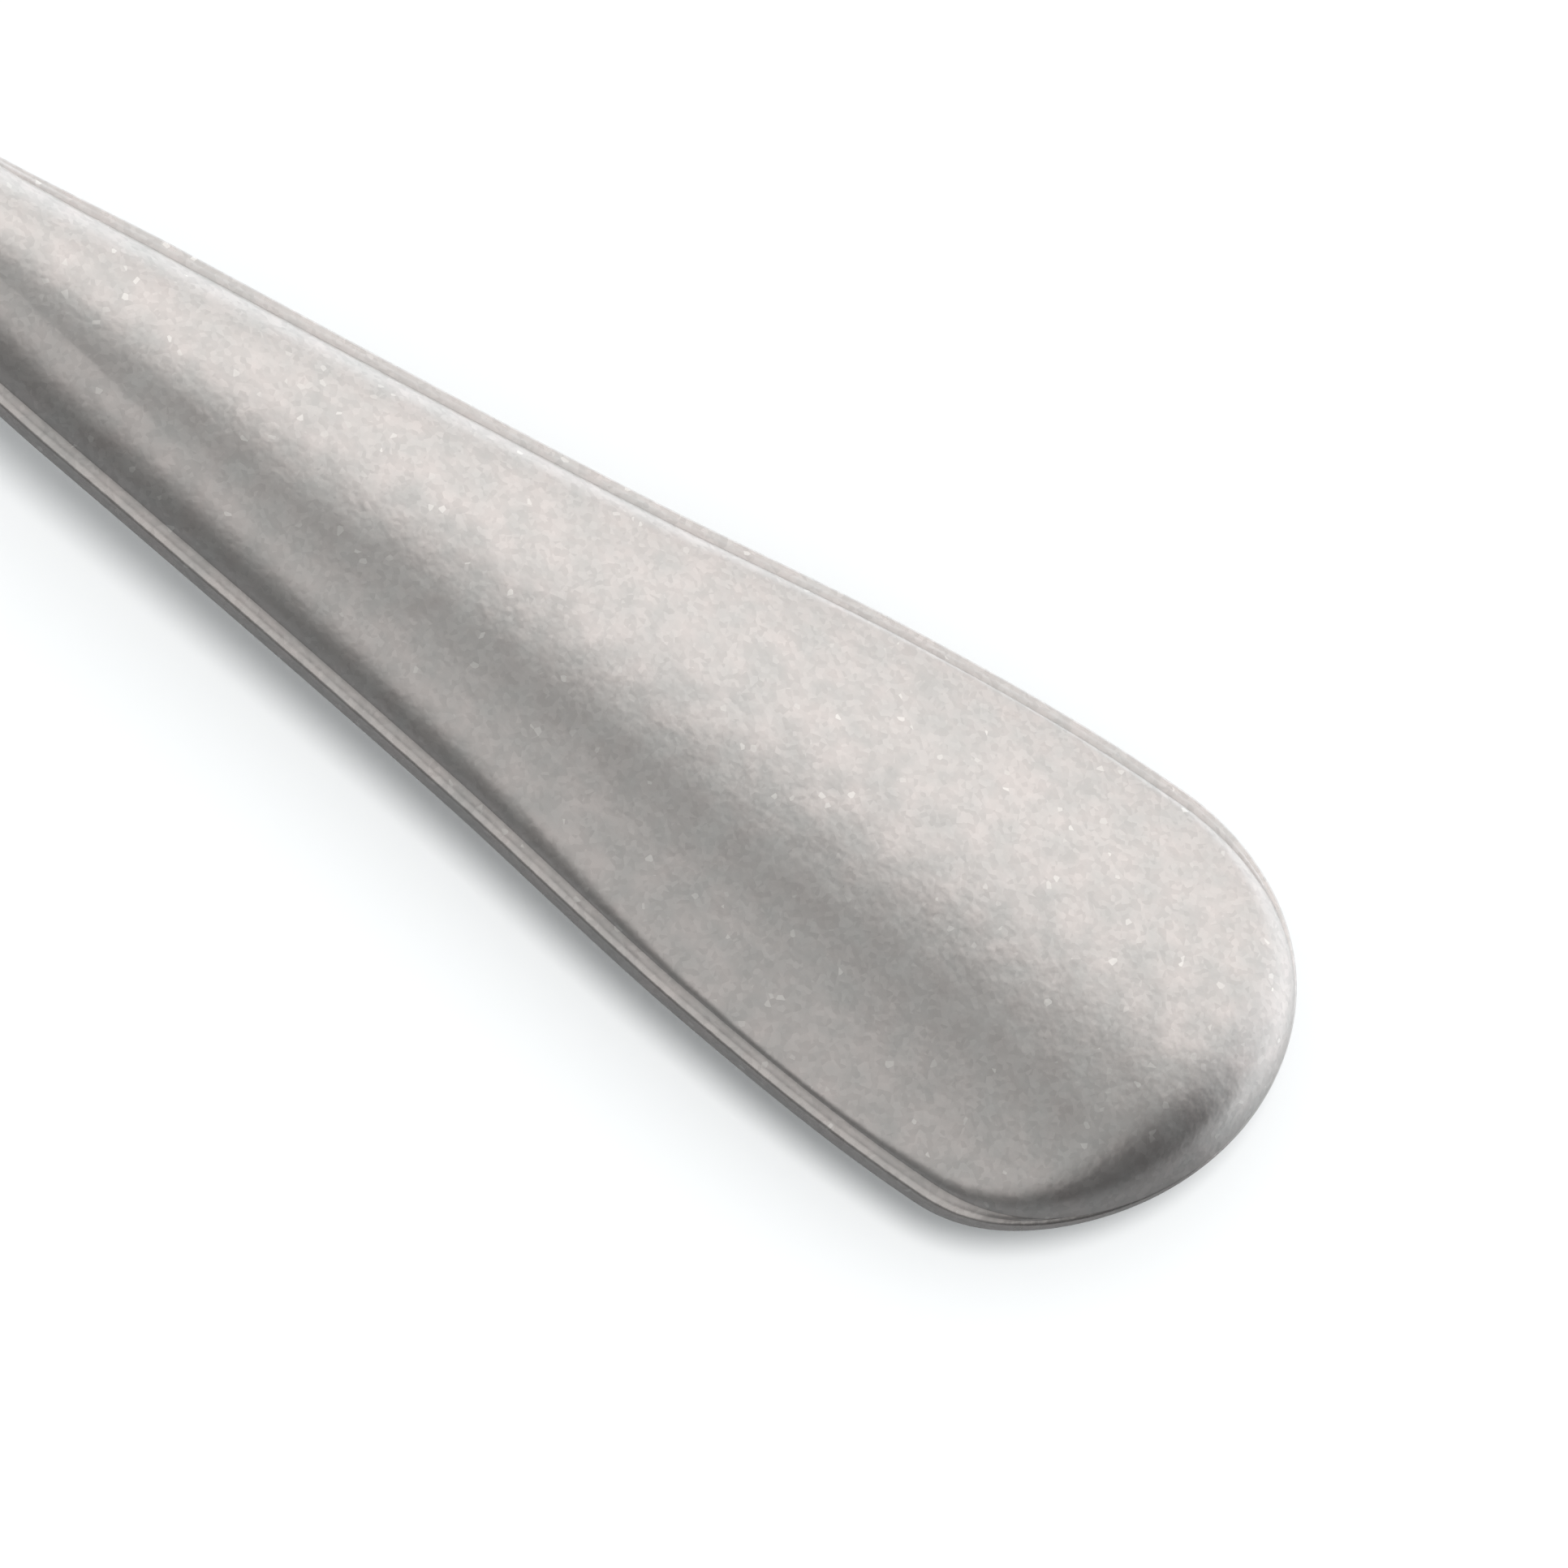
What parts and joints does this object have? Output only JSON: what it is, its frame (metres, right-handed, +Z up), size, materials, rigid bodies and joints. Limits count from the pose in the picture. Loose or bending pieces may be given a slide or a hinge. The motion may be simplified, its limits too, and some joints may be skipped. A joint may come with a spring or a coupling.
{
  "type": "blending spatula",
  "caption": "Double-ended steel blending tool: a crowned, round-ended paddle and a stump-shaped cone, pinned in ferrules at the ends of an octagonal handle with grip rings.",
  "frame": {"origin": "below the middle of the tool, on the plane of the handle's lowest flat", "axes": "+X along the tool towards the paddle, +Z up with the paddle's crown on top, +Y across"},
  "size_m": [0.156, 0.009, 0.0075],
  "materials": {
    "tip_steel": "satin, bead-blasted",
    "handle_steel": "satin, brushed lengthwise",
    "ferrule_steel": "satin, turned",
    "pin_steel": "satin, ground flush",
    "ring_rubber": "matt"
  },
  "bodies": {
    "root": {"spatula_tip": "tip_steel", "cone_tip": "tip_steel", "handle": "handle_steel", "front_ferrule": "ferrule_steel", "rear_ferrule": "ferrule_steel", "front_cross_pin": "pin_steel", "rear_cross_pin": "pin_steel", "front_grip_ring_1": "ring_rubber", "front_grip_ring_2": "ring_rubber", "front_grip_ring_3": "ring_rubber", "front_grip_ring_4": "ring_rubber", "front_grip_ring_5": "ring_rubber", "rear_grip_ring_1": "ring_rubber", "rear_grip_ring_2": "ring_rubber", "rear_grip_ring_3": "ring_rubber", "rear_grip_ring_4": "ring_rubber", "rear_grip_ring_5": "ring_rubber"}
  },
  "joints": []
}
